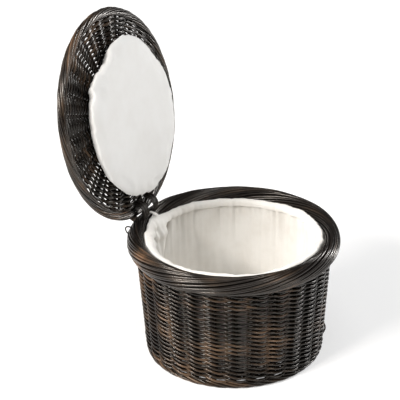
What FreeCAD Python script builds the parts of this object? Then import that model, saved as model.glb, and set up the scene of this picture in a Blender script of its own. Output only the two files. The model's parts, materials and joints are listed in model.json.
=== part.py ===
import FreeCAD, Part
import math
import os

from FreeCAD import Placement, Rotation, Vector

# Round lidded egg basket of woven rattan, with a gathered cotton liner and a lid
# cushion. Millimetres. The origin is the centre of the foot on the table, +Z is up,
# the hinge is at the back (+Y) and the front faces -Y. The lid is built closed, and
# is then swung to the open stop, which is the rest pose.

# Driving dimensions of the basket
ROD_RADIUS = 1.5                # stakes, spokes and the steel hoops
RODS_PER_LAYER = 7              # the cross is seven rods over seven rods
ROD_PITCH = 3.3                 # spacing of the parallel rods in the cross
WEAVE_HALF = 4.3                # half the thickness of a woven wall
FOOT_RADIUS = 108.5             # outer radius of the foot where it meets the table
FOOT_BORDER_HEIGHT = 7.0
FOOT_TOP = 20.0                 # the foot wale ends and the side weave begins
FOOT_STAKE_RADIUS = 107.7       # centre of the stakes at the top of the foot
NECK_Z = 135.0                  # the side weave ends under the rim
NECK_STAKE_RADIUS = 116.0       # centre of the stakes at the neck
STAKE_TOP = 150.5               # the stakes end inside the rim
BASE_Z = 9.0                    # mid height of the woven base
BASE_RADIUS = 98.0
CROSS_HALF = 21.0               # the rods run parallel this far from the centre
WEAVE_START = 26.0              # the base and lid weave start at this radius
RIM_CENTRE_RADIUS = 119.5
RIM_CENTRE_Z = 147.0
RIM_HALF_WIDTH = 10.5
RIM_HALF_HEIGHT = 12.0

# Lid, measured in the closed position
LID_RING_RADIUS = 124.5         # centre line of the lid border
LID_TUBE_RADIUS = 5.5
LID_GAP = 0.4                   # air between the closed lid border and the rim
LID_WEAVE_HALF = 4.1
LID_WEAVE_END = 118.9
LID_ROD_END = 121.2
LID_OPEN_ANGLE = 102.4
LID_OPEN_RING_Y = 126.0         # lowest point of the open lid's border centre line
LID_OPEN_RING_Z = 163.6

# Hinge bindings
BINDING_X = 12.75               # half the distance between the two bindings
BINDING_RADIUS = 12.5
BINDING_HALF_WIDTH = 3.2
BINDING_HALF_THICKNESS = 1.1
BINDING_CLEARANCE = 0.5

# Liner and cushion
LINER_GAP = 0.3
LINER_THICKNESS = 1.8
LINER_FLOOR_Z = 14.0
LINER_TOP = 142.0
LINER_TOP_RADIUS = 108.0        # the liner narrows to pass inside the rim
CUFF_CENTRE_RADIUS = 103.9
CUFF_CENTRE_Z = 149.5
CUFF_HALF_WIDTH = 4.8
CUFF_HALF_HEIGHT = 7.0
TIE_WIDTH = 5.0
CUSHION_RADIUS = 97.5
CUSHION_BACK = 4.4              # from the lid's mid plane to the back of the cushion
CUSHION_FACE = 26.0             # from the lid's mid plane to the face of the cushion
CUSHION_FABRIC = 0.8
CUSHION_BACK_RADIUS = 88.0
CUSHION_EDGE = 8.0              # rounding of the cushion's edge
CUSHION_TIES = 4
CUSHION_TIE_RING = 60.0         # radius of the circle that the ties lie on

# Worked out from the driving dimensions
ENDS = 4 * RODS_PER_LAYER
STEP_ANGLE = 360.0 / ENDS
RIM_TOP = RIM_CENTRE_Z + RIM_HALF_HEIGHT
LID_Z = RIM_TOP + LID_GAP + LID_TUBE_RADIUS
LINER_LOW_RADIUS = FOOT_STAKE_RADIUS - WEAVE_HALF - LINER_GAP
UP = Vector(0, 0, 1)
ORIGIN = Vector(0, 0, 0)


def hinge_centre():
    """Point in the YZ plane about which the closed lid ring swings to the open one."""
    shift_y = LID_OPEN_RING_Y - LID_RING_RADIUS
    shift_z = LID_OPEN_RING_Z - LID_Z
    half_tangent = 2 * math.tan(math.radians(-LID_OPEN_ANGLE) / 2)
    y = LID_RING_RADIUS + shift_y / 2 - shift_z / half_tangent
    z = LID_Z + shift_z / 2 + shift_y / half_tangent
    return Vector(0, y, z)


HINGE = hinge_centre()


def polar(radius, angle, z):
    """Point at a radius and an angle in degrees about the basket's axis."""
    turn = math.radians(angle)
    return Vector(radius * math.cos(turn), radius * math.sin(turn), z)


def revolve(outline):
    """Closed ring or disc from an outline of (radius, z) pairs with straight sides."""
    corners = [Vector(radius, 0, z) for radius, z in outline]
    face = Part.Face(Part.makePolygon(corners + corners[:1]))
    return face.revolve(ORIGIN, UP, 360)


def oval_ring(centre_radius, centre_z, half_width, half_height):
    """Ring with an elliptical section."""
    centre = Vector(centre_radius, 0, centre_z)
    across = centre + Vector(half_width, 0, 0)
    along = centre + Vector(0, 0, half_height)
    if half_width >= half_height:
        ellipse = Part.Ellipse(across, along, centre)
    else:
        ellipse = Part.Ellipse(along, across, centre)
    face = Part.Face(Part.Wire([ellipse.toShape()]))
    return face.revolve(ORIGIN, UP, 360)


def round_ring(centre_radius, centre_z, tube_radius):
    """Torus about the basket's axis."""
    return Part.makeTorus(centre_radius, tube_radius, Vector(0, 0, centre_z), UP)


def rod(points):
    """Bent round rod along a list of points, with mitred bends."""
    path = Part.makePolygon(points)
    start = Part.Circle(points[0], points[1] - points[0], ROD_RADIUS)
    profile = Part.Wire([start.toShape()])
    mitred_corner = 1
    return path.makePipeShell([profile], True, False, mitred_corner)


def basket_rod_end(angle, cross_z, offset, turn):
    """Points of half a basket rod, from its end in the rim to the edge of the cross."""
    cross_edge = Rotation(UP, turn).multVec(Vector(CROSS_HALF, offset, cross_z))
    return [
        polar(NECK_STAKE_RADIUS, angle, STAKE_TOP),
        polar(NECK_STAKE_RADIUS, angle, NECK_Z),
        polar(FOOT_STAKE_RADIUS, angle, FOOT_TOP),
        polar(FOOT_STAKE_RADIUS - 1.5, angle, FOOT_TOP - 5.5),
        polar(FOOT_STAKE_RADIUS - 5.0, angle, FOOT_TOP - 9.5),
        polar(BASE_RADIUS, angle, BASE_Z),
        cross_edge,
    ]


def lid_rod_end(angle, cross_z, offset, turn):
    """Points of half a lid rod, from its end in the border to the edge of the cross."""
    cross_edge = Rotation(UP, turn).multVec(Vector(CROSS_HALF, offset, cross_z))
    return [polar(LID_ROD_END, angle, LID_Z), cross_edge]


def rod_layer(end_points, cross_z, direction):
    """Seven rods that run side by side through the cross and fan out beyond it."""
    rods = []
    middle = (RODS_PER_LAYER - 1) / 2
    for index in range(RODS_PER_LAYER):
        fan = (index - middle) * STEP_ANGLE
        offset = (index - middle) * ROD_PITCH
        near = end_points(direction + fan, cross_z, offset, direction)
        far = end_points(direction + 180 - fan, cross_z, -offset, direction + 180)
        rods.append(rod(near + far[::-1]))
    return rods


def on_lid(shape):
    """Swing a lid piece from the closed position to the open stop."""
    swing = Placement(ORIGIN, Rotation(Vector(1, 0, 0), -LID_OPEN_ANGLE), HINGE)
    moved = shape.copy()
    moved.Placement = swing.multiply(moved.Placement)
    return moved


def binding_ring(x, grow=0.0):
    """Flat-wound hinge binding about the hinge axis; grow makes its clearance body."""
    outer = BINDING_RADIUS + BINDING_HALF_THICKNESS + grow
    inner = BINDING_RADIUS - BINDING_HALF_THICKNESS - grow
    half = BINDING_HALF_WIDTH + grow
    start = HINGE + Vector(x - half, 0, 0)
    along = Vector(1, 0, 0)
    solid = Part.makeCylinder(outer, 2 * half, start, along)
    return solid.cut(Part.makeCylinder(inner, 2 * half, start, along))


def both_bindings(grow):
    return [binding_ring(side * BINDING_X, grow) for side in (-1, 1)]


def foot_border():
    """Plaited bottom row that stands on the table."""
    inner = BASE_RADIUS + 0.5
    return revolve([
        (inner, 1.0),
        (inner + 1.5, 0.0),
        (FOOT_RADIUS - 2.0, 0.0),
        (FOOT_RADIUS, 2.0),
        (FOOT_RADIUS + 1.3, 4.5),
        (FOOT_RADIUS + 1.8, FOOT_BORDER_HEIGHT),
        (inner, FOOT_BORDER_HEIGHT),
    ])


def foot_wale(stakes):
    """Thick rows that grip the stakes where they turn up from the base."""
    bottom = FOOT_BORDER_HEIGHT
    inner = BASE_RADIUS + 0.5
    band = revolve([
        (inner, bottom),
        (FOOT_RADIUS + 1.8, bottom),
        (FOOT_RADIUS + 4.2, bottom + 4.5),
        (FOOT_RADIUS + 4.7, bottom + 8.5),
        (FOOT_STAKE_RADIUS + WEAVE_HALF, FOOT_TOP),
        (FOOT_STAKE_RADIUS - WEAVE_HALF, FOOT_TOP),
        (inner + 1.5, BASE_Z + WEAVE_HALF),
        (inner, BASE_Z + WEAVE_HALF),
    ])
    return band.cut(stakes)


def side_weave(stakes):
    """Woven wall, with the stakes running through it."""
    wall = revolve([
        (FOOT_STAKE_RADIUS - WEAVE_HALF, FOOT_TOP),
        (FOOT_STAKE_RADIUS + WEAVE_HALF, FOOT_TOP),
        (NECK_STAKE_RADIUS + WEAVE_HALF, NECK_Z),
        (NECK_STAKE_RADIUS - WEAVE_HALF, NECK_Z),
    ])
    return wall.cut(stakes)


def base_weave(stakes):
    """Flat woven base around the cross."""
    disc = revolve([
        (WEAVE_START, BASE_Z - WEAVE_HALF),
        (BASE_RADIUS, BASE_Z - WEAVE_HALF),
        (BASE_RADIUS, BASE_Z + WEAVE_HALF),
        (WEAVE_START, BASE_Z + WEAVE_HALF),
    ])
    return disc.cut(stakes)


def rim_border(inserts):
    """Rolled rim, an oval roll of strands around a steel hoop."""
    roll = oval_ring(RIM_CENTRE_RADIUS, RIM_CENTRE_Z, RIM_HALF_WIDTH, RIM_HALF_HEIGHT)
    below_neck = Part.makeCylinder(200, NECK_Z)
    trimmed = roll.cut(below_neck)
    for insert in inserts:
        trimmed = trimmed.cut(insert)
    return trimmed


def liner_wall():
    """Gathered cotton wall of the liner."""
    low = LINER_LOW_RADIUS
    high = LINER_TOP_RADIUS
    return revolve([
        (low - 3.0, LINER_FLOOR_Z),
        (low, FOOT_TOP),
        (high, LINER_TOP),
        (high - LINER_THICKNESS, LINER_TOP),
        (low - LINER_THICKNESS, FOOT_TOP),
        (low - 3.0 - LINER_THICKNESS, LINER_FLOOR_Z),
    ])


def liner_floor():
    """Round cotton floor of the liner."""
    radius = LINER_LOW_RADIUS - 3.0 - LINER_THICKNESS
    return Part.makeCylinder(radius, LINER_THICKNESS, Vector(0, 0, LINER_FLOOR_Z))


def liner_cuff():
    """Soft turned-over hem of the liner against the inside of the rim."""
    cuff = oval_ring(CUFF_CENTRE_RADIUS, CUFF_CENTRE_Z, CUFF_HALF_WIDTH, CUFF_HALF_HEIGHT)
    return cuff.cut(Part.makeCylinder(200, LINER_TOP))


def liner_tie(cuff):
    """Short cotton tape that ties the cuff to the rim between the hinge bindings."""
    hem = RIM_TOP - 4.5
    outline = [
        Vector(0, 104.0, hem),
        Vector(0, 112.0, hem + 1.4),
        Vector(0, 114.8, hem + 3.2),
        Vector(0, 114.0, hem + 5.0),
        Vector(0, 110.5, hem + 4.0),
        Vector(0, 104.0, hem + 3.2),
    ]
    face = Part.Face(Part.makePolygon(outline + outline[:1]))
    tape = face.extrude(Vector(TIE_WIDTH, 0, 0))
    tape.translate(Vector(-TIE_WIDTH / 2, 0, 0))
    return tape.cut(cuff)


def lid_weave(inserts):
    """Flat woven disc of the lid around its own cross."""
    disc = revolve([
        (WEAVE_START, LID_Z - LID_WEAVE_HALF),
        (LID_WEAVE_END, LID_Z - LID_WEAVE_HALF),
        (LID_WEAVE_END, LID_Z + LID_WEAVE_HALF),
        (WEAVE_START, LID_Z + LID_WEAVE_HALF),
    ])
    return disc.cut(inserts)


def cushion_outline(inset):
    """Outline of the cushion from its back to its face, moved inwards by inset."""
    edge = CUSHION_RADIUS - inset
    back = LID_Z - CUSHION_BACK - inset
    face = LID_Z - CUSHION_FACE + inset
    middle = (back + face) / 2
    return [
        (CUSHION_BACK_RADIUS - inset, back),
        (edge - 2.5, back - 3.0),
        (edge, middle + 3.0),
        (edge, middle - 3.0),
        (edge - 2.5, face + 4.0),
        (edge - CUSHION_EDGE, face + 1.0),
        (edge - 2.5 * CUSHION_EDGE, face),
    ]


def filled_cushion(inset):
    """Solid cushion shape, moved inwards by inset on every side."""
    outline = cushion_outline(inset)
    axis = [(0, outline[-1][1]), (0, outline[0][1])]
    return revolve(outline + axis)


def cushion_pieces():
    """Back panel, face panel with its side band, and the filling between them."""
    body = filled_cushion(0)
    filling = filled_cushion(CUSHION_FABRIC)
    cover = body.cut(filling)
    seam_z = LID_Z - CUSHION_BACK - CUSHION_FABRIC
    above_seam = Part.makeCylinder(200, CUSHION_FABRIC, Vector(0, 0, seam_z))
    return cover.common(above_seam), cover.cut(above_seam), filling


def cushion_ties():
    """Cotton stitches that hold the cushion to the lid through the weave."""
    ties = []
    top = LID_Z + LID_WEAVE_HALF
    bottom = LID_Z - CUSHION_BACK
    for index in range(CUSHION_TIES):
        angle = 45 + index * 360 / CUSHION_TIES
        foot = polar(CUSHION_TIE_RING, angle, bottom)
        ties.append(Part.makeCylinder(0.9, top - bottom, foot))
    return ties


def lid_pieces():
    """All lid pieces in the open rest pose, by node name."""
    lower = rod_layer(lid_rod_end, LID_Z - ROD_RADIUS - 0.05, 0)
    upper = rod_layer(lid_rod_end, LID_Z + ROD_RADIUS + 0.05, 90)
    hoop = round_ring(LID_RING_RADIUS + 1.5, LID_Z, ROD_RADIUS)
    border = round_ring(LID_RING_RADIUS, LID_Z, LID_TUBE_RADIUS)
    slots = both_bindings(BINDING_CLEARANCE)
    ties = cushion_ties()
    back, face, filling = cushion_pieces()
    closed = {
        "lid_rods_lower": Part.makeCompound(lower),
        "lid_rods_upper": Part.makeCompound(upper),
        "lid_weave": lid_weave(lower + upper + slots + ties),
        "lid_hoop": hoop,
        "lid_border": border.cut(lower + upper + [hoop]),
        "cushion_back": back,
        "cushion_face": face,
        "cushion_filling": filling,
        "cushion_ties": Part.makeCompound(ties),
    }
    return {node: on_lid(shape) for node, shape in closed.items()}


def basket_pieces():
    """All pieces of the basket, its liner and the hinge bindings, by node name."""
    lower = rod_layer(basket_rod_end, BASE_Z - ROD_RADIUS - 0.05, 0)
    upper = rod_layer(basket_rod_end, BASE_Z + ROD_RADIUS + 0.05, 90)
    stakes = lower + upper
    hoop = round_ring(RIM_CENTRE_RADIUS + 2.5, RIM_CENTRE_Z - 4.5, ROD_RADIUS)
    left, right = both_bindings(0.0)
    cuff = liner_cuff()
    rim = rim_border(stakes + [hoop, left, right])
    return {
        "stake_rods_lower": Part.makeCompound(lower),
        "stake_rods_upper": Part.makeCompound(upper),
        "base_weave": base_weave(stakes),
        "foot_border": foot_border(),
        "foot_wale": foot_wale(stakes),
        "side_weave": side_weave(stakes),
        "rim_hoop": hoop,
        "rim_border": rim,
        "hinge_binding_left": left,
        "hinge_binding_right": right,
        "liner_wall": liner_wall(),
        "liner_floor": liner_floor(),
        "liner_cuff": cuff,
        "liner_tie": liner_tie(cuff).cut(rim),
    }


def main():
    os.makedirs("parts", exist_ok=True)
    pieces = basket_pieces()
    pieces.update(lid_pieces())
    for node, shape in pieces.items():
        shape.exportStep(f"parts/{node}.step")
        print(f"{node}: {len(shape.Solids)} solids, {shape.Volume:.0f} mm3, valid {shape.isValid()}")
    print(f"hinge axis through y {HINGE.y:.2f}, z {HINGE.z:.2f}")


main()
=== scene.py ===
import json
import math

import bpy
import numpy as np
from mathutils import Matrix, Vector


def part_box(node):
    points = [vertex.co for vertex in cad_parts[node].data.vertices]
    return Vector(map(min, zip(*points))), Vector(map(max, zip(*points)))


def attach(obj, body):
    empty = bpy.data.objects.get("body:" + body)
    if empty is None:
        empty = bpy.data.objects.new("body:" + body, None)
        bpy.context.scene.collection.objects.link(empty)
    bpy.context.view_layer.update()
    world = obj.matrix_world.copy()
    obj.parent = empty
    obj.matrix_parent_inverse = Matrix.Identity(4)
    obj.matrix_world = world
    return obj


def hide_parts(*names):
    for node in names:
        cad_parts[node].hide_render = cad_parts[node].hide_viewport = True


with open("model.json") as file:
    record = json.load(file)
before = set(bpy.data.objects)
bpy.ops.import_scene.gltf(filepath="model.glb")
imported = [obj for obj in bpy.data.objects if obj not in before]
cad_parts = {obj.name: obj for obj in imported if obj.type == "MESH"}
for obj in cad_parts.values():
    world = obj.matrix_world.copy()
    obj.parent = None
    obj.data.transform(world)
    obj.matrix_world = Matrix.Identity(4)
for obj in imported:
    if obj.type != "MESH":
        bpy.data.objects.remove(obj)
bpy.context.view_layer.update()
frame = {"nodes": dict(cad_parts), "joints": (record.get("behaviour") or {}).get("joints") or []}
MM = 0.001
RNG = np.random.default_rng(7)

# The weave. The first three values are the frame's own.
ENDS = 28                       # stakes of the wall, and spokes of the lid
ROD = 1.5 * MM                  # radius of a stake or spoke
WALL_HALF = 4.3 * MM            # half the thickness of the woven wall
WALL_ROWS = 20
WALL_STRAND = 2.75 * MM
LID_STRAND = 3.7 * MM
LID_ROW_PITCH = 5.6 * MM
RIM_STRANDS = 40
RIM_STRAND = 3.0 * MM
RIM_CORE_STRANDS = 26
LID_BORDER_STRANDS = 42
LID_BORDER_STRAND = 2.8 * MM
LID_CORE_STRANDS = 18
POINTS_PER_ROD = 10             # points of a woven strand from one rod to the next
ROD_SHADE = 0.9                      # how much painted shade darkens a strand, and takes its gloss, where it lies behind a rod
CORE_SHADE = 0.85                # how much painted shade darkens the core of a roll and takes its gloss
SHADE_MATERIAL_FROM = 0.3                 # faces with more painted shade than this get the near black, unglossy second material

# Places read from the frame
wall_low, wall_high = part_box("side_weave")
rim_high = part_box("rim_border")[1]
cuff_low, cuff_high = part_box("liner_cuff")
FOOT_TOP = wall_low.z
NECK = wall_high.z
NECK_RADIUS = wall_high.x - WALL_HALF
LID_JOINT = frame["joints"][0]
HINGE = Vector(LID_JOINT["pos_m"])
OPEN_ANGLE = math.radians(LID_JOINT["range_deg"][1])
OPENING = (
    Matrix.Translation(HINGE)
    @ Matrix.Rotation(-OPEN_ANGLE, 4, "X")
    @ Matrix.Translation(-HINGE)
)


def closed_box(node):
    """Box of a lid node with the lid shut."""
    mesh = frame["nodes"][node].data
    points = np.array([OPENING.inverted() @ v.co for v in mesh.vertices])
    return Vector(points.min(0)), Vector(points.max(0))


border_low, border_high = closed_box("lid_border")
pad_low, pad_high = closed_box("cushion_face")
LID_Z = (border_low.z + border_high.z) / 2
LID_RADIUS = border_high.x
LID_TUBE = (border_high.z - border_low.z) / 2

# Sizes of the rim and foot that the boxes don't give
RIM_CENTRE_RADIUS = 119.5 * MM
RIM_HALF_WIDTH = rim_high.x - RIM_CENTRE_RADIUS
RIM_HALF_HEIGHT = 12.0 * MM
RIM_CENTRE_Z = rim_high.z - RIM_HALF_HEIGHT
FOOT_STAKE_RADIUS = 107.7 * MM


# ---------------------------------------------------------------- strands

def ring_points(radius, angles, z):
    """Points at a radius, angles and heights; each may be a number or an array."""
    radius, angles, z = np.broadcast_arrays(radius, angles, z)
    return np.stack([radius * np.cos(angles), radius * np.sin(angles), z], axis=-1)


def unit(vectors):
    return vectors / np.linalg.norm(vectors, axis=-1, keepdims=True)


def per_point(value, count, length):
    """A number, one per strand, or one per point, as strands by points by 1 by 1."""
    value = np.asarray(value, float)
    if value.ndim == 1:
        value = value[:, None]
    return np.broadcast_to(value, (count, length))[:, :, None, None]


def strand_points(paths, outward, width, thickness, turn, closed):
    """Points of the strands' skins: oval sections square to each path."""
    if closed:
        ahead = np.roll(paths, -1, axis=1) - np.roll(paths, 1, axis=1)
    else:
        ahead = np.gradient(paths, axis=1)
    ahead = unit(ahead)
    across = unit(np.cross(ahead, outward))
    up = np.cross(across, ahead)
    side_part = across[:, :, None, :] * np.cos(turn)[:, None] * width
    up_part = up[:, :, None, :] * np.sin(turn)[:, None] * thickness
    return paths[:, :, None, :] + (side_part + up_part) / 2


def strand_faces(shape, closed):
    """Quads along each strand, and a cap on each end of an open one."""
    index = np.arange(math.prod(shape)).reshape(shape)
    here = index if closed else index[:, :-1]
    there = np.roll(index, -1, axis=1) if closed else index[:, 1:]
    quads = np.stack([here, np.roll(here, -1, axis=2), np.roll(there, -1, axis=2), there], axis=-1)
    faces = quads.reshape(-1, 4).tolist()
    if not closed:
        faces += index[:, 0, ::-1].tolist() + index[:, -1].tolist()
    return faces


def new_piece(name, points, faces):
    """Object with a smooth shaded mesh."""
    mesh = bpy.data.meshes.new(name)
    mesh.from_pydata(points.reshape(-1, 3).tolist(), [], faces)
    mesh.polygons.foreach_set("use_smooth", np.ones(len(mesh.polygons), bool))
    piece = bpy.data.objects.new(name, mesh)
    bpy.context.scene.collection.objects.link(piece)
    return piece


def store_numbers(mesh, name, values):
    """Keep one number for each point of the mesh, for its material."""
    layer = mesh.attributes.new(name, "FLOAT", "POINT")
    layer.data.foreach_set("value", values.reshape(-1).astype(np.float32))


def store_fibre(mesh, paths, width, thickness, turn, seed):
    """Keep each point's place along and across its strand, for the streaks."""
    count, length = paths.shape[:2]
    steps = np.linalg.norm(np.diff(paths, axis=1), axis=-1)
    along = np.concatenate([np.zeros((count, 1)), np.cumsum(steps, axis=1)], axis=1)
    fibre = np.zeros((count, length, len(turn), 3))
    fibre[..., 0] = (along + seed[:, None] * 3.7)[:, :, None]
    fibre[..., 1] = np.cos(turn) * width[..., 0] / 2 + seed[:, None, None] * 0.9
    fibre[..., 2] = np.sin(turn) * thickness[..., 0] / 2
    layer = mesh.attributes.new("fibre", "FLOAT_VECTOR", "POINT")
    layer.data.foreach_set("vector", fibre.reshape(-1).astype(np.float32))


def strand_mesh(name, paths, outward, width, thickness, sides=7, closed=False, crevice_shade=None):
    """One mesh of many strands. paths and outward are arrays of strands by points by 3.

    crevice, strands by points, is 1 where a strand lies deep in the weave, and sets how much painted shade
    makes it dark and less glossy there.
    """
    count, length = paths.shape[:2]
    shape = (count, length, sides)
    turn = np.arange(sides) * 2 * math.pi / sides
    width = per_point(width, count, length)
    thickness = per_point(thickness, count, length)
    points = strand_points(paths, outward, width, thickness, turn, closed)
    piece = new_piece(name, points, strand_faces(shape, closed))
    mesh = piece.data

    seed = RNG.random(count)
    store_fibre(mesh, paths, width, thickness, turn, seed)
    store_numbers(mesh, "tone", np.broadcast_to(seed[:, None, None], shape))
    # Painted shade: the depth is stored for the material, which paints those parts dark and rough, and the
    # deepest faces are marked for the near black second material.
    deep = np.zeros((count, length)) if crevice_shade is None else crevice_shade
    store_numbers(mesh, "crevice_shade", np.broadcast_to(deep[:, :, None], shape))
    by_quad = np.repeat(deep if closed else deep[:, :-1], sides)
    shaded_faces = np.zeros(len(mesh.polygons), np.int32)
    shaded_faces[:by_quad.size] = by_quad > SHADE_MATERIAL_FROM
    mesh.polygons.foreach_set("material_index", shaded_faces)
    return piece


def wobble(count, length, waves, size):
    """Smooth closed random wander, count rows of length samples."""
    angle = np.linspace(0, 2 * math.pi, length, endpoint=False)
    total = np.zeros((count, length))
    for wave in waves:
        phase = RNG.random((count, 1)) * 2 * math.pi
        weight = RNG.normal(size=(count, 1))
        total += weight * np.cos(wave * angle[None, :] + phase)
    return total * size / math.sqrt(len(waves))


def twined_rows(radii, heights, groups, swing, rise, flat=False, sharp=1.0):
    """Two strands per row that cross between the rods. A flat weave swings along Z.

    sharp under 1 makes the strands cross quickly, which closes the weave between the rods.
    Also gives each point's depth: 1 in front of a rod and -1 behind it.
    """
    length = groups * POINTS_PER_ROD
    angle = np.linspace(0, 2 * math.pi, length, endpoint=False)
    paths = []
    outward = []
    depth = []
    for radius, height in zip(radii, heights):
        jitter = wobble(1, length, (3, 5, 8, 13), 0.10 * MM)[0]
        loose = wobble(1, length, (14, 21, 28), 0.07 * MM)[0]
        for side in (0, math.pi):
            phase = groups / 2 * angle + side
            out = swing * np.cos(phase) + loose
            slip = -rise * np.sign(np.sin(phase)) * np.abs(np.sin(phase)) ** sharp + jitter
            if flat:
                paths.append(ring_points(radius + slip, angle, height + out))
                outward.append(np.tile((0.0, 0.0, 1.0), (length, 1)))
            else:
                paths.append(ring_points(radius + out, angle, height + slip))
                outward.append(ring_points(1.0, angle, 0.0))
            depth.append(np.cos(phase))
    return np.array(paths), np.array(outward), np.array(depth)


# ---------------------------------------------------------------- materials

def new_material(name):
    material = bpy.data.materials.new(name)
    material.use_nodes = True
    nodes = material.node_tree.nodes
    return material, nodes, material.node_tree.links, nodes["Principled BSDF"]


def attribute_node(nodes, name):
    """Reads a number or vector that a mesh keeps for its points."""
    node = nodes.new("ShaderNodeAttribute")
    node.attribute_name = name
    return node


def bump_node(nodes, links, height, strength, distance):
    bump = nodes.new("ShaderNodeBump")
    bump.inputs["Strength"].default_value = strength
    bump.inputs["Distance"].default_value = distance
    links.new(height, bump.inputs["Height"])
    return bump


def blend_to(nodes, links, factor, colour, target):
    """Mixes a colour towards a fixed one as factor goes from 0 to 1."""
    mix = nodes.new("ShaderNodeMix")
    mix.data_type = "RGBA"
    mix.inputs["B"].default_value = (*target, 1.0)
    links.new(factor, mix.inputs["Factor"])
    links.new(colour, mix.inputs["A"])
    return mix.outputs["Result"]


def roughness_range(nodes, links, value, smooth, rough):
    """Roughness that goes from smooth to rough as value goes from 0 to 1."""
    node = nodes.new("ShaderNodeMapRange")
    node.inputs["To Min"].default_value = smooth
    node.inputs["To Max"].default_value = rough
    links.new(value, node.inputs["Value"])
    return node.outputs["Result"]


def noise_node(nodes, links, vector, scale, detail=3.0, roughness=0.55):
    noise = nodes.new("ShaderNodeTexNoise")
    noise.inputs["Scale"].default_value = scale
    noise.inputs["Detail"].default_value = detail
    noise.inputs["Roughness"].default_value = roughness
    links.new(vector, noise.inputs["Vector"])
    return noise


def ramp_node(nodes, links, value, stops):
    ramp = nodes.new("ShaderNodeValToRGB")
    elements = ramp.color_ramp.elements
    while len(elements) < len(stops):
        elements.new(0.5)
    for element, (position, colour) in zip(elements, stops):
        element.position = position
        element.color = (*colour, 1.0)
    links.new(value, ramp.inputs["Fac"])
    return ramp


# Painted light in part: the strands are painted a little lighter towards the left of the basket, where the
# key lamp falls, and a little darker upwards; in part this is their own tan tint, which lies low and on the
# left.
TONE_AND_LIGHT_DRIFT = (-0.55, 0.35, -0.35)
TONE_SHARE = 0.22               # how far one strand's own tone may lie from its neighbours'


def strand_tone(nodes, links):
    """A number that grows with a strand's own tone, with wide patches, and with a drift across the basket
    that is in part painted light.
    """
    place = nodes.new("ShaderNodeTexCoord").outputs["Object"]
    patches = noise_node(nodes, links, place, 21.0, 2.0, 0.5)
    mixed = nodes.new("ShaderNodeMath")
    mixed.operation = "MULTIPLY_ADD"
    mixed.inputs[1].default_value = TONE_SHARE
    links.new(attribute_node(nodes, "tone").outputs["Fac"], mixed.inputs[0])
    links.new(patches.outputs["Fac"], mixed.inputs[2])
    drift = nodes.new("ShaderNodeVectorMath")
    drift.operation = "DOT_PRODUCT"
    drift.inputs[1].default_value = TONE_AND_LIGHT_DRIFT
    links.new(place, drift.inputs[0])
    total = nodes.new("ShaderNodeMath")
    total.operation = "ADD"
    links.new(mixed.outputs["Value"], total.inputs[0])
    links.new(drift.outputs["Value"], total.inputs[1])
    return total.outputs["Value"]


def rattan(name, dark, middle, light, gloss=0.17, shine=0.34):
    """Glossy strand with streaks along it, a tone that changes by strand and by place and is in part
    painted light, and painted shade where it lies deep in the weave.
    """
    material, nodes, links, shader = new_material(name)
    stretch = nodes.new("ShaderNodeMapping")
    stretch.inputs["Scale"].default_value = (30.0, 700.0, 700.0)
    links.new(attribute_node(nodes, "fibre").outputs["Vector"], stretch.inputs["Vector"])
    streaks = noise_node(nodes, links, stretch.outputs["Vector"], 1.0, 4.0, 0.6).outputs["Fac"]
    crevice_shade = attribute_node(nodes, "crevice_shade").outputs["Fac"]

    tone = ramp_node(nodes, links, strand_tone(nodes, links), [(0.50, dark), (0.68, middle), (0.88, light)])
    grain = ramp_node(
        nodes, links, streaks,
        [(0.32, (0.30, 0.28, 0.27)), (0.62, (1.0, 1.0, 1.0)), (0.78, (1.7, 1.5, 1.3))],
    )
    shade = nodes.new("ShaderNodeMix")
    shade.data_type = "RGBA"
    shade.blend_type = "MULTIPLY"
    shade.inputs["Factor"].default_value = 0.85
    links.new(tone.outputs["Color"], shade.inputs["A"])
    links.new(grain.outputs["Color"], shade.inputs["B"])
    # Painted shade: the colour goes to near black, and the roughness rises, where the strand lies deep in
    # the weave.
    colour = blend_to(nodes, links, crevice_shade, shade.outputs["Result"], (0.001, 0.001, 0.001))
    links.new(colour, shader.inputs["Base Color"])

    matt = nodes.new("ShaderNodeMath")
    matt.operation = "MULTIPLY_ADD"
    matt.use_clamp = True
    matt.inputs[1].default_value = 0.6
    links.new(crevice_shade, matt.inputs[0])
    links.new(roughness_range(nodes, links, streaks, gloss - 0.06, gloss + 0.16), matt.inputs[2])
    links.new(matt.outputs["Value"], shader.inputs["Roughness"])
    bump = bump_node(nodes, links, streaks, 0.18, 0.16 * MM)
    links.new(bump.outputs["Normal"], shader.inputs["Normal"])
    shader.inputs["Specular IOR Level"].default_value = shine
    shader.inputs["Specular Tint"].default_value = (1.0, 0.93, 0.86, 1.0)
    return material


def rod_material(name, dark, light):
    """Dull stakes and spokes, with streaks in object space."""
    material, nodes, links, shader = new_material(name)
    place = nodes.new("ShaderNodeTexCoord").outputs["Object"]
    streaks = noise_node(nodes, links, place, 260.0, 4.0, 0.6).outputs["Fac"]
    ramp = ramp_node(nodes, links, streaks, [(0.35, dark), (0.75, light)])
    links.new(ramp.outputs["Color"], shader.inputs["Base Color"])
    links.new(roughness_range(nodes, links, streaks, 0.55, 0.75), shader.inputs["Roughness"])
    bump = bump_node(nodes, links, streaks, 0.3, 0.2 * MM)
    links.new(bump.outputs["Normal"], shader.inputs["Normal"])
    shader.inputs["Specular IOR Level"].default_value = 0.08
    return material


def crossed_threads(nodes, links, place):
    """Height of fine threads that run both ways."""
    threads = nodes.new("ShaderNodeMath")
    threads.operation = "ADD"
    for socket, direction in enumerate(("X", "Z")):
        wave = nodes.new("ShaderNodeTexWave")
        wave.bands_direction = direction
        wave.inputs["Scale"].default_value = 420.0
        wave.inputs["Distortion"].default_value = 1.2
        wave.inputs["Detail"].default_value = 1.0
        links.new(place, wave.inputs["Vector"])
        links.new(wave.outputs["Fac"], threads.inputs[socket])
    return threads.outputs["Value"]


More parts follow.
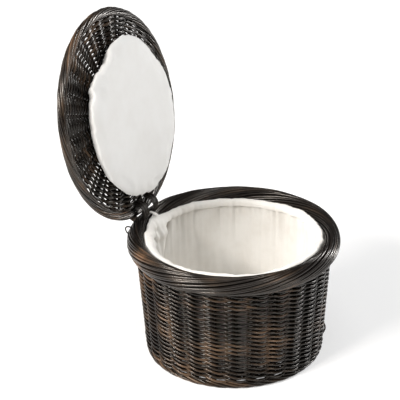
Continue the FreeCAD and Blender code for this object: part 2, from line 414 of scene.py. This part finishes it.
def cotton(name, colour, shadow, thread=0.55, crumple=0.35):
    """Plain woven cotton: fine crossed threads over a soft crumple, painted shadow in the crumple's
    hollows, and painted shade, a warm brown, along a crease.
    """
    material, nodes, links, shader = new_material(name)
    place = nodes.new("ShaderNodeTexCoord").outputs["Object"]
    cloud = noise_node(nodes, links, place, 38.0, 5.0, 0.55).outputs["Fac"]
    # Painted shadow: the cloth is painted darker in the hollows of its crumple, where the same noise sets
    # the bump low.
    ramp = ramp_node(nodes, links, cloud, [(0.25, shadow), (0.65, colour)])
    crease = attribute_node(nodes, "crease").outputs["Fac"]
    # Painted shade: a warm brown along the creases that the liner stores.
    crease_shaded = blend_to(nodes, links, crease, ramp.outputs["Color"], (0.16, 0.12, 0.09))
    links.new(crease_shaded, shader.inputs["Base Color"])
    shader.inputs["Roughness"].default_value = 0.92
    shader.inputs["Sheen Weight"].default_value = 0.25
    shader.inputs["Sheen Roughness"].default_value = 0.5
    shader.inputs["Specular IOR Level"].default_value = 0.25
    fine = bump_node(nodes, links, crossed_threads(nodes, links, place), thread, 0.08 * MM)
    soft = bump_node(nodes, links, cloud, crumple, 1.2 * MM)
    links.new(fine.outputs["Normal"], soft.inputs["Normal"])
    links.new(soft.outputs["Normal"], shader.inputs["Normal"])
    return material


def drawn_wire():
    """Grey hoop wire with fine drawing marks."""
    material, nodes, links, shader = new_material("hoop_wire")
    place = nodes.new("ShaderNodeTexCoord").outputs["Object"]
    marks = noise_node(nodes, links, place, 300.0).outputs["Fac"]
    ramp = ramp_node(nodes, links, marks, [(0.3, (0.2, 0.2, 0.19)), (0.7, (0.45, 0.44, 0.42))])
    links.new(ramp.outputs["Color"], shader.inputs["Base Color"])
    shader.inputs["Metallic"].default_value = 1.0
    shader.inputs["Roughness"].default_value = 0.45
    return material


RATTAN = rattan("rattan_dark", (0.004, 0.003, 0.002), (0.021, 0.014, 0.009), (0.125, 0.076, 0.044))
RATTAN_BORDER = rattan(
    "rattan_border", (0.007, 0.005, 0.004), (0.036, 0.025, 0.017), (0.16, 0.092, 0.052), shine=0.55,
)
RATTAN_BROWN = rattan(
    "rattan_brown", (0.006, 0.004, 0.003), (0.018, 0.010, 0.006), (0.07, 0.036, 0.018), gloss=0.34,
)
# Partly painted shade: the stakes and spokes are their own dark rattan, painted near black and nearly
# without gloss so that the gaps where they show look shaded.
RODS = rod_material("rattan_rods", (0.002, 0.0015, 0.001), (0.008, 0.005, 0.004))
LINER_COTTON = cotton("liner_cotton", (0.78, 0.765, 0.73), (0.70, 0.675, 0.63))
PAD_COTTON = cotton(
    "cushion_cotton", (0.70, 0.695, 0.68), (0.66, 0.65, 0.63), thread=0.3, crumple=0.08,
)
# Painted shade: a near black, nearly unglossy material for the faces that lie deepest in the weave.
CREVICE_SHADE = rod_material("rattan_crevice", (0.0015, 0.001, 0.001), (0.005, 0.003, 0.002))
WIRE = drawn_wire()


def dress(piece, material, body, nodes):
    """Give a piece its material and body, and hide the nodes that it stands for."""
    shaded_face_marks = np.zeros(len(piece.data.polygons), np.int32)
    piece.data.polygons.foreach_get("material_index", shaded_face_marks)
    piece.data.materials.clear()
    piece.data.materials.append(material)
    # Painted shade: faces marked in the mesh get the near black second material.
    if shaded_face_marks.any():
        piece.data.materials.append(CREVICE_SHADE)
        piece.data.polygons.foreach_set("material_index", shaded_face_marks)
    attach(piece, body)
    if nodes:
        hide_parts(*nodes)
    return piece


# ---------------------------------------------------------------- basket weave

def hidden_part(depth):
    """1 where a strand lies behind a rod, and 0 where it is in front or crosses over."""
    return np.clip(-depth, 0, 1) ** 1.5


def flattened(depth, front, behind):
    """Strand width: front over a rod, and spread out to behind where it lies behind one."""
    return front + (behind - front) * hidden_part(depth)


def side_weave():
    pitch = (NECK - FOOT_TOP) / WALL_ROWS
    heights = FOOT_TOP + pitch * (np.arange(WALL_ROWS) + 0.5)
    share = (heights - FOOT_TOP) / (NECK - FOOT_TOP)
    radii = FOOT_STAKE_RADIUS + share * (NECK_RADIUS - FOOT_STAKE_RADIUS)
    swing = ROD + WALL_STRAND / 2 - 0.1 * MM
    rise = 1.9 * MM
    behind = 5.4 * MM
    paths, outward, depth = twined_rows(radii, heights, ENDS, swing, rise, sharp=0.9)
    # Painted shade: the strands are painted near black and rougher where they lie behind a rod.
    piece = strand_mesh(
        "side_weave_strands", paths, outward, flattened(depth, WALL_STRAND, behind),
        WALL_STRAND * 0.9, closed=True, crevice_shade=ROD_SHADE * hidden_part(depth),
    )
    dress(piece, RATTAN, "basket", ["side_weave"])


def stray_strand():
    """Short end of a strand that has sprung out of the wall, low on one side."""
    azimuth = math.radians(-76)
    low = 26 * MM
    rise = 14 * MM
    share = np.linspace(0, 1, 15)
    bow = np.sin(share * math.pi)
    radius = FOOT_STAKE_RADIUS + 3.6 * MM + 2.6 * MM * bow
    angle = azimuth + 0.02 * share
    path = ring_points(radius, angle, low + rise * share)
    outward = ring_points(1.0, angle, 0.0)
    piece = strand_mesh("stray_strand", path[None], outward[None], 2.4 * MM, 2.2 * MM)
    dress(piece, RATTAN, "basket", [])


def foot_rows():
    """Rows of the foot that go on from the wall, and the plaited bottom row."""
    heights = np.array([17.0, 11.6]) * MM
    radii = np.array([107.6, 106.9]) * MM
    swing = ROD + WALL_STRAND / 2 + 0.2 * MM
    rise = 1.75 * MM
    behind = 5.0 * MM
    paths, outward, depth = twined_rows(radii, heights, ENDS, swing, rise, sharp=0.85)
    # Painted shade: the strands are painted near black and rougher where they lie behind a rod.
    rows = strand_mesh(
        "foot_wale_strands", paths, outward, flattened(depth, WALL_STRAND, behind),
        2.8 * MM, closed=True, crevice_shade=ROD_SHADE * hidden_part(depth),
    )
    dress(rows, RATTAN, "basket", ["foot_wale"])
    foot_plait("foot_border_strands", 6, 3.2 * MM, 2.7 * MM, 0.22 * MM, 0.0)
    # Painted shade: the core under the plait is painted dark and rough.
    foot_plait("foot_border_core", 5, 1.7 * MM, 3.0 * MM, 0.05 * MM, CORE_SHADE)


def foot_plait(name, strands, swing, strand, jitter, deep):
    """Strands plaited round the bottom row; deep says how much painted shade makes them dark and rough."""
    ring_radius = 105.4 * MM
    ring_height = 4.8 * MM
    length = ENDS * POINTS_PER_ROD
    angle = np.linspace(0, 2 * math.pi, length, endpoint=False)
    ropes = []
    guides = []
    for index in range(strands):
        drift = wobble(1, length, (5, 9, 14), jitter)[0]
        turn = ENDS / 4 * angle + 2 * math.pi * index / strands + 40 * drift
        radius = ring_radius + swing * np.cos(turn) + drift
        height = ring_height - swing * np.sin(turn)
        ropes.append(ring_points(radius, angle, height))
        guides.append(unit(ring_points(np.cos(turn), angle, -np.sin(turn))))
    plait = strand_mesh(
        name, np.array(ropes), np.array(guides), strand, strand, closed=True,
        crevice_shade=np.full((strands, length), deep),
    )
    dress(plait, RATTAN, "basket", ["foot_border"])


def base_rows():
    """Rows of the base: over pairs of rods near the cross, and over single rods further out."""
    radii = np.arange(28.5, 97.0, 5.6) * MM
    split = 52 * MM
    height = 9.0 * MM
    swing = 2.9 * MM
    rise = 1.4 * MM
    for index, (some, groups) in enumerate((
        (radii[radii < split], ENDS // 2),
        (radii[radii >= split], ENDS),
    )):
        heights = np.full(len(some), height)
        paths, outward, _ = twined_rows(some, heights, groups, swing, rise, flat=True, sharp=0.6)
        name = f"base_weave_strands_{index + 1}"
        piece = strand_mesh(name, paths, outward, 2.8 * MM, 2.6 * MM, sides=6, closed=True)
        dress(piece, RATTAN, "basket", ["base_weave"])


def roll_strands(count, centre, half_width, half_height, first, last, span, points, jitter):
    """Strands that wind round a roll: the section angle goes from first to last over span.

    centre is the radius and height of the roll's centre line. first, last and span are in degrees.
    """
    centre_radius, centre_z = centre
    start = np.arange(count) * 2 * math.pi / count + RNG.normal(size=count) * 0.008
    share = np.linspace(0, 1, points)
    angle = start[:, None] + share[None, :] * math.radians(span)
    spread = RNG.normal(size=(count, 1)) * 0.03
    bend = np.sin(share * math.pi)[None, :] * RNG.normal(size=(count, 1)) * 0.05
    section = np.radians(first + share[None, :] * (last - first)) + spread + bend
    loose = RNG.normal(size=(count, 1)) * 0.6 + 0.5 * np.sin(7 * angle + 9 * spread)
    lift = 1 + jitter * loose
    radius = centre_radius + half_width * lift * np.cos(section)
    height = centre_z + half_height * lift * np.sin(section)
    paths = ring_points(radius, angle, height)
    flat = np.cos(section) / half_width
    steep = np.sin(section) / half_height
    outward = unit(ring_points(flat, angle, steep))
    return paths, outward


def rim_roll():
    """Strands round the rim, over a core that painted shade makes dark and rough."""
    centre = (RIM_CENTRE_RADIUS, RIM_CENTRE_Z)
    span = 172
    inset = RIM_STRAND / 2
    paths, outward = roll_strands(
        RIM_STRANDS, centre, RIM_HALF_WIDTH - inset, RIM_HALF_HEIGHT - inset,
        -135, 190, span, 96, 0.03,
    )
    widths = RIM_STRAND * (1 + 0.07 * RNG.normal(size=RIM_STRANDS))
    piece = strand_mesh("rim_border_strands", paths, outward, widths, RIM_STRAND, sides=8)
    dress(piece, RATTAN_BORDER, "basket", ["rim_border"])

    inset = 4.0 * MM
    points = 60
    paths, outward = roll_strands(
        RIM_CORE_STRANDS, centre, RIM_HALF_WIDTH - inset, RIM_HALF_HEIGHT - inset,
        -150, 205, span, points, 0.02,
    )
    # Painted shade: the core is painted dark and rough.
    core = strand_mesh(
        "rim_border_core", paths, outward, 5.2 * MM, 2.6 * MM, sides=6,
        crevice_shade=np.full((RIM_CORE_STRANDS, points), CORE_SHADE),
    )
    dress(core, RATTAN_BORDER, "basket", ["rim_border"])


# ---------------------------------------------------------------- lid

def open_lid(piece):
    """Swing a lid piece from the closed position to the rest pose."""
    piece.data.transform(OPENING)
    return piece


def lid_rows():
    """Rows of the lid: over single rods, and over pairs of rods near the cross."""
    outer = LID_RADIUS - 2 * LID_TUBE - 2.2 * MM
    radii = np.arange(outer, 27.0 * MM, -LID_ROW_PITCH)
    split = 54 * MM
    swing = ROD + 1.2 * MM
    behind = LID_STRAND + 1.1 * MM
    for index, (some, groups) in enumerate((
        (radii[radii > split], ENDS),
        (radii[radii <= split], ENDS // 2),
    )):
        heights = np.full(len(some), LID_Z)
        paths, outward, depth = twined_rows(
            some, heights, groups, swing, LID_ROW_PITCH / 4, flat=True, sharp=0.34,
        )
        name = f"lid_weave_strands_{index + 1}"
        widths = flattened(depth, LID_STRAND, behind)
        piece = strand_mesh(name, paths, outward, widths, 2.4 * MM, sides=6, closed=True)
        dress(open_lid(piece), RATTAN, "lid", ["lid_weave"])


def lid_roll():
    """Strands round the lid's border, over a core that painted shade makes dark and rough."""
    centre = (LID_RADIUS - LID_TUBE, LID_Z)
    half = LID_TUBE - LID_BORDER_STRAND / 2
    paths, outward = roll_strands(
        LID_BORDER_STRANDS, centre, half, half, -180, 185, 90, 64, 0.06,
    )
    widths = LID_BORDER_STRAND * (1 + 0.08 * RNG.normal(size=LID_BORDER_STRANDS))
    piece = strand_mesh("lid_border_strands", paths, outward, widths, LID_BORDER_STRAND, sides=8)
    dress(open_lid(piece), RATTAN_BORDER, "lid", ["lid_border"])

    half = LID_TUBE - 3.2 * MM
    points = 54
    paths, outward = roll_strands(
        LID_CORE_STRANDS, centre, half, half, -180, 185, 126, points, 0.02,
    )
    # Painted shade: the core is painted dark and rough.
    core = strand_mesh(
        "lid_border_core", paths, outward, 3.6 * MM, 1.8 * MM, sides=6,
        crevice_shade=np.full((LID_CORE_STRANDS, points), CORE_SHADE),
    )
    dress(open_lid(core), RATTAN_BORDER, "lid", ["lid_border"])


def hinge_bindings():
    """Each lashing is a thin strand wound seven times round both borders."""
    turns = 7
    strand = 1.9 * MM
    slack = 0.3 * MM
    spread = 6.0 * MM               # the turns reach this much further than the CAD ring
    for side, name in ((-1, "left"), (1, "right")):
        node = f"hinge_binding_{name}"
        low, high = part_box(node)
        radius = (high.z - low.z) / 2 - strand / 2
        turn = np.linspace(0, 2 * turns * math.pi, turns * 44)
        x = (low.x + high.x) / 2 + (turn / turn[-1] - 0.5) * (high.x - low.x + spread)
        loose = radius - slack + slack * np.sin(turn * 1.31 + side)
        y = HINGE.y + loose * np.cos(turn)
        z = HINGE.z + loose * np.sin(turn)
        path = np.stack([x, y, z], axis=-1)
        outward = np.stack([0 * turn, np.cos(turn), np.sin(turn)], axis=-1)
        piece = strand_mesh(
            f"hinge_lashing_{name}", path[None], outward[None], strand, strand * 0.9, sides=8,
        )
        dress(piece, RATTAN_BROWN, "basket", [node])


def loose_end():
    """Spare end of the left lashing: a small loop that stands off the rim's outer edge."""
    centre_x = -44 * MM
    size = 5.5 * MM
    share = np.linspace(0, 1, 30)
    turn = math.pi * share
    x = centre_x + size * np.cos(turn)
    rim_edge = math.sqrt(RIM_CENTRE_RADIUS ** 2 - centre_x ** 2) + 8.0 * MM
    y = rim_edge + size * np.sin(turn)
    z = rim_high.z - 5.0 * MM + 3.5 * MM * np.sin(turn) - 2.0 * MM * share
    path = np.stack([x, y, z], axis=-1)
    outward = np.tile((0.0, 1.0, 0.4), (len(share), 1))
    piece = strand_mesh("hinge_lashing_end", path[None], outward[None], 1.9 * MM, 1.7 * MM, sides=8)
    dress(piece, RATTAN_BROWN, "basket", [])


# ---------------------------------------------------------------- liner

def sheet_grid(name, points, wrap):
    """Quad mesh from a grid of points; wrap joins the last column to the first."""
    rows, columns = points.shape[:2]
    index = np.arange(rows * columns).reshape(rows, columns)
    left = index if wrap else index[:, :-1]
    right = np.roll(index, -1, axis=1) if wrap else index[:, 1:]
    quads = np.stack([left[:-1], right[:-1], right[1:], left[1:]], axis=-1).reshape(-1, 4)
    return new_piece(name, points, quads.tolist())


def give_thickness(piece, thickness):
    thick = piece.modifiers.new("cloth_thickness", "SOLIDIFY")
    thick.thickness = thickness
    thick.offset = 0


def bump_at(angle, centre, width):
    """Smooth bump of height 1 round the circle, centre and width in degrees."""
    away = (np.degrees(angle) - centre + 180) % 360 - 180
    return np.exp(-(away / width) ** 2)


HEM = (cuff_high.z + cuff_low.z) / 2     # mid height of the cuff
CUFF_LIMIT = 0.1062                     # the cuff's inner half lies inside this radius


def liner_profile():
    """Radius and height of the plain bag from the middle of its floor to its tucked hem."""
    hem = HEM / MM
    floor_edge = 4
    profile = np.array([
        (0.1, 15.5), (50, 15.3), (88, 15.2), (96, 16.5), (100.5, 21), (101.8, 40), (103.2, 75),
        (104.4, 105), (104.9, 125), (104.6, hem - 12), (103.4, hem - 7), (102.6, hem - 2.5),
        (103.2, hem + 2), (105.0, hem + 5), (107.2, hem + 5.8), (109.2, hem + 4.2),
        (109.8, hem + 1), (108.6, hem - 1.5),
    ]) * MM
    steps = np.concatenate([[0], np.cumsum(np.linalg.norm(np.diff(profile, axis=0), axis=1))])
    coarse = np.linspace(0, steps[floor_edge], 14)[:-1]
    fine = np.linspace(steps[floor_edge], steps[-1], 110)
    along = np.concatenate([coarse, fine])
    radius = np.interp(along, steps, profile[:, 0])
    height = np.interp(along, steps, profile[:, 1])
    kernel = np.array([1, 2, 3, 2, 1]) / 9
    for _ in range(2):
        radius[2:-2] = np.convolve(radius, kernel, "valid")
        height[2:-2] = np.convolve(height, kernel, "valid")
    return radius[:, None], height[:, None]


# The large fold beside the hinge, in degrees round the basket
FOLD = 86
FOLD_CREASES = (74, 98)
FOLD_LEAN = 190                 # degrees for each metre below the hem


def cuff_offset(angle, radius, height, inner, full):
    """The cuff and what hangs under it: a groove, a thick roll on the left and the stitch line."""
    under = radius < CUFF_LIMIT
    groove = np.exp(-((height - HEM + 9.5 * MM) / (2.2 * MM)) ** 2) * under
    offset = groove * 1.6 * full * MM - inner * (0.2 + 5.6 * full) * MM
    left = bump_at(angle, 128, 26)
    drop = (height - HEM + 18 * MM) / MM
    roll = np.exp(-(drop / np.where(drop > 0, 9.0, 4.0)) ** 2) * under
    offset -= (12.5 * roll + 2.5 * inner) * left * MM
    stitches = np.exp(-((height - HEM + 1.5 * MM) / (0.6 * MM)) ** 2) * inner
    return offset + 0.5 * MM * stitches


def fold_offset(angle, below, lean):
    """The large fold beside the hinge, with a deep crease on each side."""
    offset = -below * 9.5 * MM * bump_at(angle, FOLD + lean, 8)
    for crease in FOLD_CREASES:
        offset += below * 3.5 * MM * bump_at(angle, crease + lean, 2.5)
    return offset


def liner():
    """Gathered cotton bag: floor, pleated wall and a soft cuff rolled against the rim."""
    columns = 960
    angle = np.linspace(0, 2 * math.pi, columns, endpoint=False)
    radius, height = liner_profile()
    pleats = wobble(1, columns, (23, 31, 37, 43, 52, 61), 0.9 * MM)
    small = wobble(1, columns, (71, 83, 97, 113), 0.4 * MM)
    folds = wobble(1, columns, (7, 9, 13, 17), 1.3 * MM)
    puckers = wobble(1, columns, (5, 8, 11, 26, 39), 0.6 * MM)

    # each is 0 to 1: the wall above the floor, its top, the cuff, and the cuff's inner half
    wall = np.clip((height - 0.018) / 0.03, 0, 1)
    top = np.clip((height - 0.085) / 0.045, 0, 1)
    cuff = np.clip((height - HEM + 9 * MM) / (5 * MM), 0, 1)
    inner = cuff * np.clip((0.1056 - radius) / 0.003, 0, 1)
    below = np.clip((HEM + 4 * MM - height) / 0.02, 0, 1) * wall
    lean = (HEM - height) * FOLD_LEAN
    # the cuff is full from the hinge round by the front and thin on the far side
    full = (0.5 - 0.5 * np.cos(angle - math.radians(25))) ** 0.6
    # and it is drawn up to the tie
    peak = bump_at(angle, 91, 7) * cuff

    offset = wall * (folds + (0.35 + 0.9 * top) * pleats) + top * small
    offset *= 1 - 0.5 * cuff
    offset += cuff_offset(angle, radius, height, inner, full)
    offset += fold_offset(angle, below, lean)
    offset += 3.5 * MM * peak
    lift = cuff * (puckers * (0.5 + full) - 6.5 * MM * (1 - full)) + 4.0 * MM * peak
    piece = sheet_grid("cotton_liner", ring_points(radius + offset, angle[None, :], height + lift), True)

    # Painted shade: dark lines along the two creases beside the hinge fold, for the cotton's colour.
    dark = below * (0.8 * bump_at(angle, 74 + lean, 1.6) + bump_at(angle, 101 + lean, 3.2))
    store_numbers(piece.data, "crease", np.clip(dark, 0, 0.85))
    dress(piece, LINER_COTTON, "basket", ["liner_wall", "liner_floor", "liner_cuff"])
    give_thickness(piece, 0.7 * MM)


def liner_tie():
    """Short tape end from the cuff over the inner edge of the rim."""
    low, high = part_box("liner_tie")
    along = np.linspace(0, 1, 14)
    across = np.linspace(-1, 1, 7)
    y = low.y + along * (high.y - low.y)
    z = low.z + 1.4 * MM + 3.4 * MM * np.sin(along * 1.5)
    half = (high.x - low.x) / 2 * (1 - 0.35 * along)
    x = across[None, :] * half[:, None]
    curl = 0.8 * MM * (across[None, :] ** 2) * (1 - along[:, None])
    grid = np.stack(np.broadcast_arrays(x, y[:, None], z[:, None] + curl), axis=-1)
    piece = sheet_grid("liner_tie_tape", grid, False)
    dress(piece, LINER_COTTON, "basket", ["liner_tie"])
    give_thickness(piece, 0.9 * MM)


# ---------------------------------------------------------------- cushion

PAD_SHIFT = (3.0 * MM, 4.0 * MM)         # the pad's centre, off the lid's centre
PAD_LONGER = 4.5 * MM                   # the pad is longer than wide, towards and from the hinge
# Where its outline goes in or out: size in mm, and place and width in degrees round the lid
PAD_DENTS = ((-8.0, 247, 11), (-4.5, 321, 18), (1.5, 135, 30))
# Ripples along its seam: waves round the pad, and size in mm
PAD_RIPPLES = ((19, 0.30), (31, 0.28), (47, 0.22), (58, 0.16))
PAD_PRESSURE = 4.0
PAD_FRAMES = 20
PAD_REACH = 2.6 * MM


def cushion_profile():
    """Radius and height of the pad from the middle of its back to the middle of its face."""
    back = LID_Z - 4.6 * MM
    face = pad_low.z + 2.2 * MM
    edge = pad_high.x - 0.3 * MM
    deep = back - face
    return edge, [
        (0.5 * MM, back), (40 * MM, back), (64 * MM, back), (74 * MM, back - 0.06 * deep),
        (edge - 15 * MM, back - 0.22 * deep), (edge - 8.5 * MM, back - 0.45 * deep),
        (edge - 3.5 * MM, back - 0.65 * deep), (edge, face + 0.19 * deep),
        (edge - 1.2 * MM, face + 0.08 * deep), (edge - 5 * MM, face + 0.01 * deep),
        (60 * MM, face), (0.5 * MM, face),
    ]


def cushion_shape():
    """Round pad in the closed position, back against the lid and face below, a little slack."""
    edge, profile = cushion_profile()
    columns = 200
    angle = np.linspace(0, 2 * math.pi, columns, endpoint=False)
    outline = wobble(1, columns, (3, 5, 8, 13), 0.5 * MM)[0]
    for size, place, width in PAD_DENTS:
        outline += size * MM * bump_at(angle, place, width)
    outline += PAD_LONGER * np.sin(angle) ** 2
    rows = []
    for radius, height in profile:
        pull = min(radius / edge, 1.0) ** 4
        rows.append(ring_points(radius + outline * pull, angle, height) + np.array([*PAD_SHIFT, 0.0]))
    index = np.arange(len(profile) * columns).reshape(len(profile), columns)
    right = np.roll(index, -1, axis=1)
    quads = np.stack([index[:-1], right[:-1], right[1:], index[1:]], axis=-1).reshape(-1, 4)
    faces = quads.tolist() + [index[0, ::-1].tolist(), index[-1].tolist()]
    return new_piece("lid_cushion", np.stack(rows), faces)


def evaluated_mesh(piece):
    """The piece's mesh with its modifiers applied."""
    bpy.context.view_layer.update()
    shaped = piece.evaluated_get(bpy.context.evaluated_depsgraph_get())
    return bpy.data.meshes.new_from_object(shaped)


def swap_mesh(piece, mesh):
    old = piece.data
    piece.modifiers.clear()
    piece.data = mesh
    bpy.data.meshes.remove(old)


def mesh_points(mesh):
    points = np.empty(len(mesh.vertices) * 3)
    mesh.vertices.foreach_get("co", points)
    return points.reshape(-1, 3)


def inflate(piece, pressure, frames, reach):
    """Blow the pad up as cloth, and let no point move further than reach."""
    start = mesh_points(piece.data)
    cloth = piece.modifiers.new("inflate", "CLOTH")
    cloth.settings.use_pressure = True
    cloth.settings.uniform_pressure_force = pressure
    cloth.settings.effector_weights.gravity = 0
    cloth.settings.quality = 6
    cloth.point_cache.frame_start = 1
    cloth.point_cache.frame_end = frames
    for frame_number in range(1, frames + 1):
        bpy.context.scene.frame_set(frame_number)
    mesh = evaluated_mesh(piece)
    move = mesh_points(mesh) - start
    length = np.linalg.norm(move, axis=1, keepdims=True)
    move *= np.minimum(1.0, reach / np.maximum(length, 1e-9))
    mesh.vertices.foreach_set("co", (start + move).reshape(-1))
    swap_mesh(piece, mesh)
    bpy.context.scene.frame_set(1)


def settle(piece):
    """Press the pad flat on the lid, keep its face nearly flat and pucker its seam."""
    points = mesh_points(piece.data)
    back = LID_Z - 4.5 * MM
    face = pad_low.z + 1.2 * MM
    points[:, 2] = np.minimum(points[:, 2], back)
    low = points[:, 2] < face
    points[low, 2] = face + (points[low, 2] - face) * 0.25
    away = points[:, :2] - np.array(PAD_SHIFT)
    radius = np.linalg.norm(away, axis=1)
    angle = np.arctan2(away[:, 1], away[:, 0])
    rim = np.clip((radius - 76 * MM) / (14 * MM), 0, 1) ** 1.5
    side = np.clip((back - points[:, 2]) / (8 * MM), 0, 1)
    ripple = np.zeros(len(points))
    for wave, size in PAD_RIPPLES:
        ripple += size * MM * np.cos(wave * angle + RNG.random() * 2 * math.pi)
    # the seam is most puckered at the upper left of the open lid
    pucker = 0.5 + 2.6 * bump_at(angle, 225, 32)
    points[:, :2] += away / radius[:, None] * (ripple * rim * side * pucker)[:, None]
    points[:, 2] += ripple * rim * pucker * 0.6
    piece.data.vertices.foreach_set("co", points.reshape(-1))


def cushion():
    """The pad: shaped, remeshed evenly, blown up as cloth, settled and smoothed."""
    piece = cushion_shape()
    remesh = piece.modifiers.new("even_mesh", "REMESH")
    remesh.mode = "VOXEL"
    remesh.voxel_size = 4.0 * MM
    swap_mesh(piece, evaluated_mesh(piece))
    inflate(piece, PAD_PRESSURE, PAD_FRAMES, PAD_REACH)
    settle(piece)
    piece.data.polygons.foreach_set("use_smooth", np.ones(len(piece.data.polygons), bool))
    open_lid(piece)
    smooth = piece.modifiers.new("smooth", "SUBSURF")
    smooth.levels = 1
    smooth.render_levels = 1
    stands_for = ["cushion_face", "cushion_back", "cushion_filling"]
    dress(piece, PAD_COTTON, "lid", stands_for)


# ---------------------------------------------------------------- stage

FLOOR_GREY = 0.64
FLOOR_GLOW = 0.40               # keeps the floor near white, as in the photograph
MIDDLE = (0, 0, 0.12)           # what the lamps aim at
WARM = (1.0, 0.96, 0.92)
WHITE = (1.0, 1.0, 1.0)

# Lamps: azimuth and elevation in degrees, distance and size in metres, power in watts, colour
LAMPS = {
    "key": (150, 33, 4.5, (2.4, 0.72), 335, WARM),
    "fill": (254, 44, 5.0, (1.5, 1.5), 66, WHITE),
    "strip": (326, 18, 3.0, (0.16, 2.0), 56, WHITE),
    "top": (230, 80, 5.5, (3.2, 3.2), 60, WHITE),
}

# The camera, fitted to the photograph: metres and degrees
CAMERA_TURN = 90.0 - 63.4       # round the basket, from straight along +X
CAMERA_PITCH = 26.3
CAMERA_ROLL = -1.09
CAMERA_SIDE = -0.0400           # off the line through the basket's axis
CAMERA_DISTANCE = 1.7576
CAMERA_HEIGHT = 1.0687
CAMERA_LENS = 146.7             # mm, on a sensor 36 mm wide


def floor():
    bpy.ops.mesh.primitive_plane_add(size=14.0, location=(0, 0, 0))
    plane = bpy.context.object
    plane.name = "floor"
    material, _, _, shader = new_material("floor_white")
    shader.inputs["Base Color"].default_value = (FLOOR_GREY, FLOOR_GREY, FLOOR_GREY, 1)
    shader.inputs["Roughness"].default_value = 0.9
    shader.inputs["Emission Color"].default_value = (1, 1, 1, 1)
    shader.inputs["Emission Strength"].default_value = FLOOR_GLOW
    plane.data.materials.append(material)


def around(azimuth, elevation, distance):
    """Place of a lamp, seen from the middle of the basket."""
    azimuth = math.radians(azimuth)
    elevation = math.radians(elevation)
    flat = distance * math.cos(elevation)
    height = MIDDLE[2] + distance * math.sin(elevation)
    return (flat * math.cos(azimuth), flat * math.sin(azimuth), height)


def area_light(name, place, size, power, colour):
    """Rectangular lamp that aims at the middle of the basket."""
    data = bpy.data.lights.new(name, "AREA")
    data.shape = "RECTANGLE"
    data.size, data.size_y = size
    data.energy = power
    data.color = colour
    lamp = bpy.data.objects.new(name, data)
    lamp.location = place
    lamp.rotation_euler = (Vector(MIDDLE) - Vector(place)).to_track_quat("-Z", "Y").to_euler()
    bpy.context.scene.collection.objects.link(lamp)


def studio():
    """Dim white surroundings and four soft lamps."""
    world = bpy.data.worlds.new("studio")
    world.use_nodes = True
    background = world.node_tree.nodes["Background"]
    background.inputs["Color"].default_value = (1, 1, 1, 1)
    background.inputs["Strength"].default_value = 0.12
    bpy.context.scene.world = world
    bpy.context.scene.view_settings.view_transform = "Standard"
    for name, (azimuth, elevation, distance, size, power, colour) in LAMPS.items():
        area_light(name, around(azimuth, elevation, distance), size, power, colour)


def camera():
    """Camera in front and to the left, rolled a little about its own line of sight."""
    turn = math.radians(CAMERA_TURN)
    pitch = math.radians(CAMERA_PITCH)
    roll = math.radians(CAMERA_ROLL)
    data = bpy.data.cameras.new("camera")
    data.sensor_width = 36.0
    data.lens = CAMERA_LENS
    view = bpy.data.objects.new("camera", data)
    view.location = (
        CAMERA_SIDE * math.sin(turn) - CAMERA_DISTANCE * math.cos(turn),
        -CAMERA_SIDE * math.cos(turn) - CAMERA_DISTANCE * math.sin(turn),
        CAMERA_HEIGHT,
    )
    heading = Matrix.Rotation(turn - math.pi / 2, 3, "Z")
    tilt = Matrix.Rotation(math.pi / 2 - pitch, 3, "X")
    view.rotation_euler = (heading @ tilt @ Matrix.Rotation(roll, 3, "Z")).to_euler()
    bpy.context.scene.collection.objects.link(view)
    bpy.context.scene.camera = view


def dress_nodes():
    """Materials of the CAD nodes that stay as they are."""
    finishes = {
        "stake_rods_lower": RODS, "stake_rods_upper": RODS,
        "lid_rods_lower": RODS, "lid_rods_upper": RODS,
        "rim_hoop": WIRE, "lid_hoop": WIRE, "cushion_ties": LINER_COTTON,
    }
    for node, material in finishes.items():
        mesh = frame["nodes"][node].data
        mesh.materials.clear()
        mesh.materials.append(material)


dress_nodes()
side_weave()
foot_rows()
base_rows()
stray_strand()
rim_roll()
lid_rows()
lid_roll()
hinge_bindings()
loose_end()
liner()
liner_tie()
cushion()
floor()
studio()
camera()
